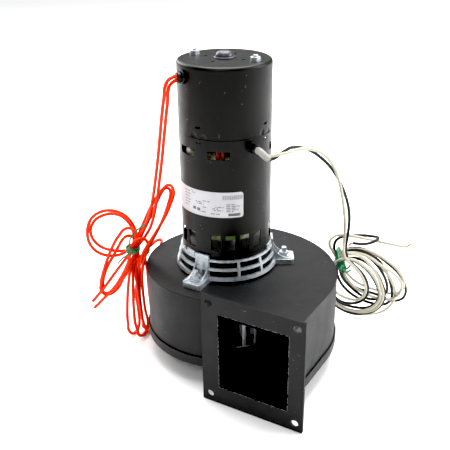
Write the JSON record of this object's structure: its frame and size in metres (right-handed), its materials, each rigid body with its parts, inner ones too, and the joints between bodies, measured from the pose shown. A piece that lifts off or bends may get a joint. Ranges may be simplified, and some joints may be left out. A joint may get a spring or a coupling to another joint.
{
  "type": "combustion fan",
  "caption": "Combustion blower: squirrel-cage wheel in a black sheet-steel scroll with a square outlet flange, driven by an upright motor with a proving switch and loose leads.",
  "frame": {"origin": "on the motor's axis, in the outer face of the inlet lid, at the mouth of the inlet", "axes": "+Z along the shaft from the inlet towards the motor; the outlet faces -Y; +X towards the outlet duct's side of the scroll"},
  "size_m": [0.2759, 0.2202, 0.2943],
  "materials": {
    "housing_paint": "satin black powder coat",
    "motor_paint": "semi-gloss black enamel",
    "zinc_plate": "zinc plated, slightly blue",
    "galvanised_steel": "galvanised sheet",
    "machined_steel": "turned steel",
    "bearing_bronze": "sintered bronze",
    "laminated_steel": "stacked laminations",
    "cast_aluminium": "die cast",
    "winding": "varnished copper wire in cream tape",
    "fan_plastic": "moulded nylon",
    "board_phenolic": "phenolic sheet",
    "contact_brass": "stamped brass",
    "label": "printed silver-white film",
    "bushing_plastic": "black nylon",
    "sleeve_plastic": "clear-grey vinyl sleeve",
    "red_silicone": "red-orange silicone rubber",
    "black_vinyl": "black vinyl insulation",
    "white_vinyl": "cream-white vinyl insulation",
    "copper": "bare copper strands",
    "green_tie": "green plastic-covered twist tie"
  },
  "bodies": {
    "root": {"housing_top_plate": "housing_paint", "scroll_wall": "housing_paint", "inlet_lid": "housing_paint", "inlet_ring": "housing_paint", "outlet_flange": "housing_paint", "motor_mount_cage": "zinc_plate", "mount_studs": "zinc_plate", "mount_nuts": "zinc_plate", "motor_lower_shell": "motor_paint", "motor_upper_shell": "motor_paint", "nameplate": "label", "shaft_cap": "motor_paint", "lower_end_bracket": "galvanised_steel", "upper_end_bracket": "galvanised_steel", "shaft_bearings": "bearing_bronze", "stator_core": "laminated_steel", "stator_windings": "winding", "cover_studs": "zinc_plate", "cover_nuts": "zinc_plate", "switch_board": "board_phenolic", "board_posts": "machined_steel", "lever_bracket": "contact_brass", "lever_pin": "machined_steel", "contact_terminals": "contact_brass", "switch_lead_bushing": "bushing_plastic", "power_lead_bushing": "bushing_plastic", "power_lead_sleeve": "sleeve_plastic", "red_lead_1": "red_silicone", "red_lead_2": "red_silicone", "black_lead": "black_vinyl", "white_lead": "white_vinyl", "white_tail": "white_vinyl", "black_tail": "black_vinyl", "red_tail_1": "red_silicone", "red_tail_2": "red_silicone", "bare_wire_ends": "copper", "red_hank": "red_silicone", "red_upper_loop": "red_silicone", "red_side_loops": "red_silicone", "red_hank_tie": "green_tie", "power_coil": "black_vinyl", "power_coil_tie": "green_tie", "inner_switch_leads": "red_silicone"},
    "rotor": {"motor_shaft": "machined_steel", "rotor_core": "laminated_steel", "rotor_end_rings": "cast_aluminium", "thrust_collars": "machined_steel", "cooling_fan": "fan_plastic", "impeller_backplate": "galvanised_steel", "impeller_blades": "galvanised_steel", "impeller_end_ring": "galvanised_steel", "impeller_hub": "machined_steel", "hub_set_screw": "machined_steel", "switch_hub": "machined_steel", "flyweight_pins": "machined_steel", "collar_spring": "machined_steel"},
    "collar": {"switch_collar": "fan_plastic"},
    "weight_left": {"flyweight_left": "machined_steel"},
    "weight_right": {"flyweight_right": "machined_steel"},
    "lever": {"contact_lever": "contact_brass"}
  },
  "joints": [
    {"name": "rotor_spin", "type": "hinge", "parent": "root", "child": "rotor", "pos_m": [0, 0, 0.1], "axis": [0, 0, 1], "continuous": true},
    {"name": "weight_left_swing", "type": "hinge", "parent": "rotor", "child": "weight_left", "pos_m": [-0.0115, 0, 0.251], "axis": [0, 1, 0], "range_deg": [0, 22], "stiffness_Nm_per_rad": 0.02, "springref_deg": -11.46},
    {"name": "weight_right_swing", "type": "hinge", "parent": "rotor", "child": "weight_right", "pos_m": [0.0115, 0, 0.251], "axis": [0, -1, 0], "range_deg": [0, 22]},
    {"name": "collar_slide", "type": "slide", "parent": "rotor", "child": "collar", "axis": [0, 0, 1], "range_m": [0, 0.003], "deforming": ["collar_spring"]},
    {"name": "contact_lever_tilt", "type": "hinge", "parent": "root", "child": "lever", "pos_m": [0.023, 0, 0.2266], "axis": [0, 1, 0], "range_deg": [0, 12]}
  ],
  "couplings": [
    {"joint": "weight_right_swing", "follows": "weight_left_swing", "ratio": 1},
    {"joint": "collar_slide", "follows": "weight_left_swing", "m_per_rad": 0.007812},
    {"joint": "contact_lever_tilt", "follows": "weight_left_swing", "ratio": 0.54544}
  ]
}
